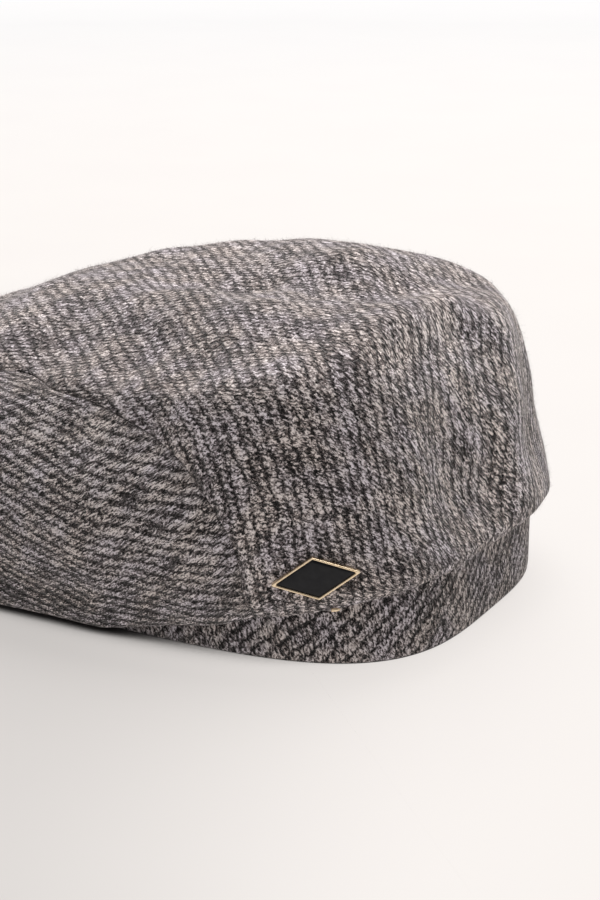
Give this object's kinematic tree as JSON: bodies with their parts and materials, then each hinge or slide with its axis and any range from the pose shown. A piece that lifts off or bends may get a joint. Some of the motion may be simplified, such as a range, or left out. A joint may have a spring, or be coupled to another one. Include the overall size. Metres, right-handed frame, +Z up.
{
  "type": "driving cap",
  "caption": "Soft grey twill driving cap with a full crown, curved side gussets, a head band, a short stiff peak and a small lozenge badge, lying on its band.",
  "frame": {"origin": "middle of the cap's footprint, on the surface it lies on", "axes": "+Z up, +Y towards the back of the head, -Y towards the peak, +X towards the wearer's left, where the badge is"},
  "size_m": [0.1679, 0.2647, 0.0997],
  "materials": {
    "cloth": "matt heathered twill with a light fuzz",
    "band_cloth": "matt heathered twill on the bias",
    "brass": "polished",
    "enamel": "glossy black enamel"
  },
  "bodies": {
    "root": {"crown_panel": "cloth", "side_panel_left": "cloth", "side_panel_right": "cloth", "band": "band_cloth", "peak": "cloth", "badge_rim": "brass", "badge_enamel": "enamel", "badge_pin": "brass"}
  },
  "joints": []
}
